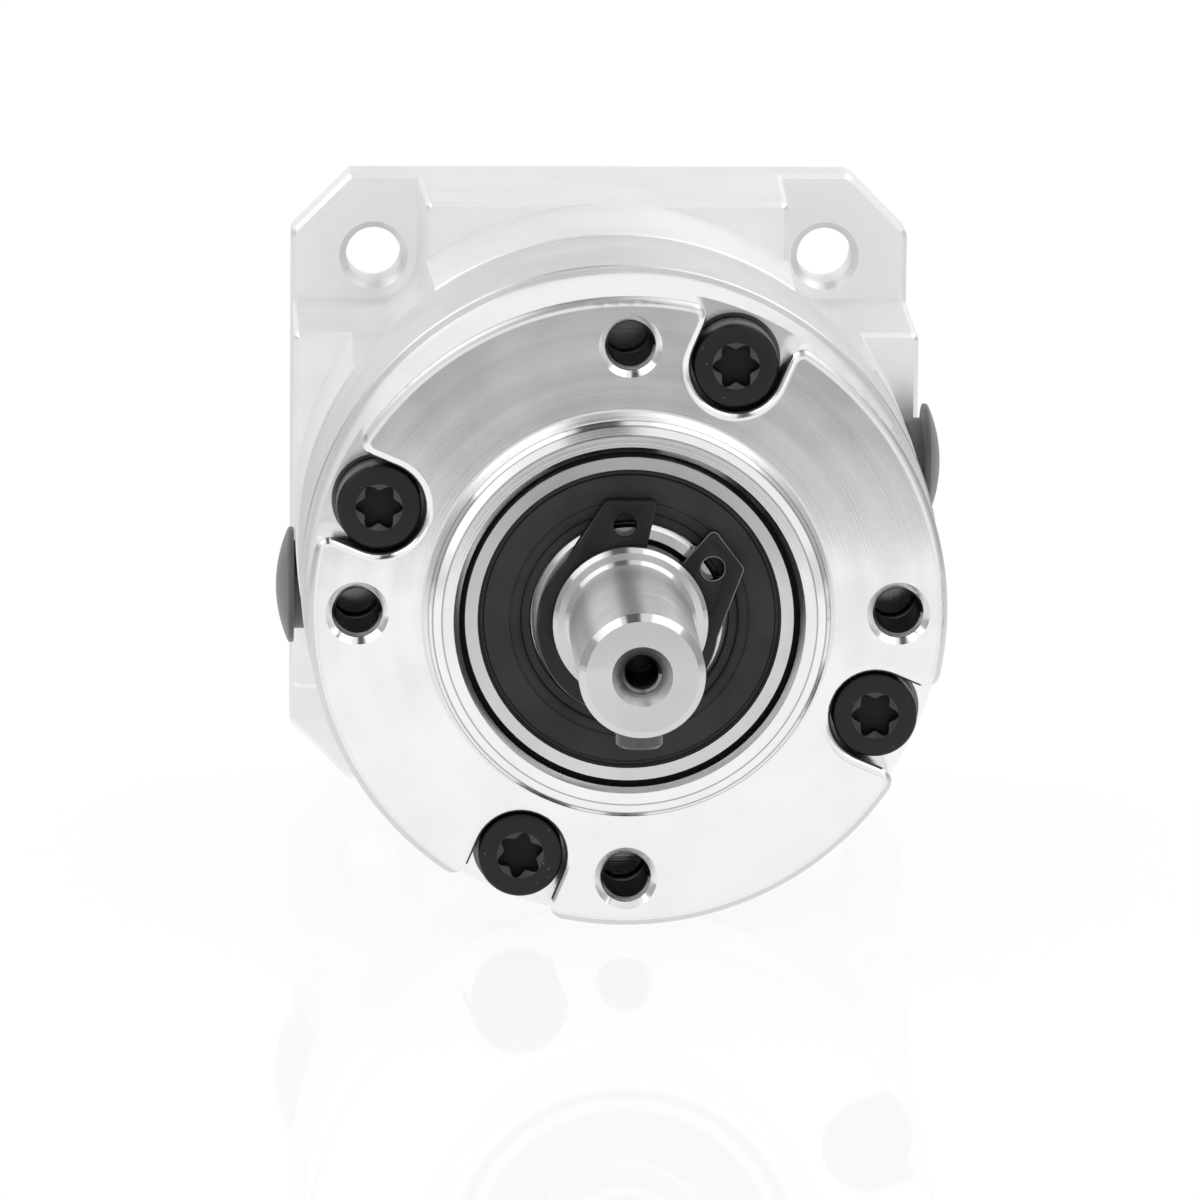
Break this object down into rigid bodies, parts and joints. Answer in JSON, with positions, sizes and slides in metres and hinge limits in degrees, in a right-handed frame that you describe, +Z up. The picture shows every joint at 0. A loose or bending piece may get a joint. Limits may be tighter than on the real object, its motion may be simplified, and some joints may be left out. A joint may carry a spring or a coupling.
{
  "type": "planetary gearhead",
  "caption": "Planetary gearhead with a round pilot flange, keyed output shaft and a square motor adapter with notched corners; the shaft turns slower than the clamped input hub.",
  "frame": {"origin": "centre of the flange's mounting face, on the shaft axis", "axes": "-Y along the output shaft towards its end, +Y towards the motor, +Z up with the key below the shaft, +X to the right seen from the front"},
  "size_m": [0.0448, 0.0738, 0.0424],
  "materials": {
    "flange_aluminium": "turned, fine satin",
    "adapter_aluminium": "cast and fine blasted",
    "ring_steel": "ground",
    "shaft_steel": "ground bright",
    "gear_steel": "hobbed, oiled",
    "bearing_steel": "polished",
    "ball_steel": "mirror polished",
    "black_oxide": "black oxide",
    "spring_black": "phosphated spring steel",
    "seal_rubber": "moulded",
    "plug_rubber": "moulded, slight sheen",
    "cage_nylon": "moulded",
    "bush_bronze": "sintered, oiled",
    "key_steel": "drawn bright"
  },
  "bodies": {
    "housing": {"output_flange": "flange_aluminium", "flange_screws": "black_oxide", "flange_o_ring": "seal_rubber", "ring_gear": "ring_steel", "adapter_o_ring": "seal_rubber", "motor_adapter": "adapter_aluminium", "front_bearing_outer_ring": "bearing_steel", "front_bearing_seals": "seal_rubber", "rear_bearing_outer_ring": "bearing_steel", "rear_bearing_seals": "seal_rubber", "input_bearing_outer_ring": "bearing_steel", "input_bearing_seals": "seal_rubber"},
    "output": {"output_shaft": "shaft_steel", "shaft_key": "key_steel", "shaft_circlip": "spring_black", "bearing_spacer": "gear_steel", "front_bearing_inner_ring": "bearing_steel", "rear_bearing_inner_ring": "bearing_steel", "planet_pin_1": "gear_steel", "planet_pin_2": "gear_steel", "planet_pin_3": "gear_steel", "planet_thrust_washers": "bush_bronze"},
    "input": {"input_hub": "gear_steel", "input_circlip": "spring_black", "clamp_screws": "black_oxide", "input_bearing_inner_ring": "bearing_steel"},
    "planet_1": {"planet_gear_1": "gear_steel", "planet_bush_1": "bush_bronze"},
    "planet_2": {"planet_gear_2": "gear_steel", "planet_bush_2": "bush_bronze"},
    "planet_3": {"planet_gear_3": "gear_steel", "planet_bush_3": "bush_bronze"},
    "front_balls": {"front_bearing_balls": "ball_steel", "front_bearing_cage": "cage_nylon"},
    "rear_balls": {"rear_bearing_balls": "ball_steel", "rear_bearing_cage": "cage_nylon"},
    "input_balls": {"input_bearing_balls": "ball_steel", "input_bearing_cage": "cage_nylon"},
    "left_plug": {"left_access_plug": "plug_rubber"},
    "right_plug": {"right_access_plug": "plug_rubber"}
  },
  "joints": [
    {"name": "output_spin", "type": "hinge", "parent": "housing", "child": "output", "pos_m": [0, 0, 0], "axis": [0, 1, 0], "continuous": true},
    {"name": "input_spin", "type": "hinge", "parent": "housing", "child": "input", "pos_m": [0, 0, 0], "axis": [0, 1, 0], "continuous": true},
    {"name": "planet_1_spin", "type": "hinge", "parent": "output", "child": "planet_1", "pos_m": [0, 0.0167, 0.0075], "axis": [0, 1, 0], "continuous": true},
    {"name": "planet_2_spin", "type": "hinge", "parent": "output", "child": "planet_2", "pos_m": [-0.0065, 0.0167, -0.00375], "axis": [0, 1, 0], "continuous": true},
    {"name": "planet_3_spin", "type": "hinge", "parent": "output", "child": "planet_3", "pos_m": [0.0065, 0.0167, -0.00375], "axis": [0, 1, 0], "continuous": true},
    {"name": "front_balls_spin", "type": "hinge", "parent": "housing", "child": "front_balls", "pos_m": [0, 0, 0], "axis": [0, 1, 0], "continuous": true},
    {"name": "rear_balls_spin", "type": "hinge", "parent": "housing", "child": "rear_balls", "pos_m": [0, 0, 0], "axis": [0, 1, 0], "continuous": true},
    {"name": "input_balls_spin", "type": "hinge", "parent": "housing", "child": "input_balls", "pos_m": [0, 0, 0], "axis": [0, 1, 0], "continuous": true},
    {"name": "left_plug_pull", "type": "slide", "parent": "housing", "child": "left_plug", "axis": [-1, 0, 0], "range_m": [0, 0.012]},
    {"name": "right_plug_pull", "type": "slide", "parent": "housing", "child": "right_plug", "axis": [1, 0, 0], "range_m": [0, 0.012]}
  ],
  "couplings": [
    {"joint": "input_spin", "follows": "output_spin", "ratio": 5},
    {"joint": "planet_1_spin", "follows": "output_spin", "ratio": -2.6667},
    {"joint": "planet_2_spin", "follows": "output_spin", "ratio": -2.6667},
    {"joint": "planet_3_spin", "follows": "output_spin", "ratio": -2.6667},
    {"joint": "front_balls_spin", "follows": "output_spin", "ratio": 0.40625},
    {"joint": "rear_balls_spin", "follows": "output_spin", "ratio": 0.40625},
    {"joint": "input_balls_spin", "follows": "output_spin", "ratio": 2.1923}
  ]
}
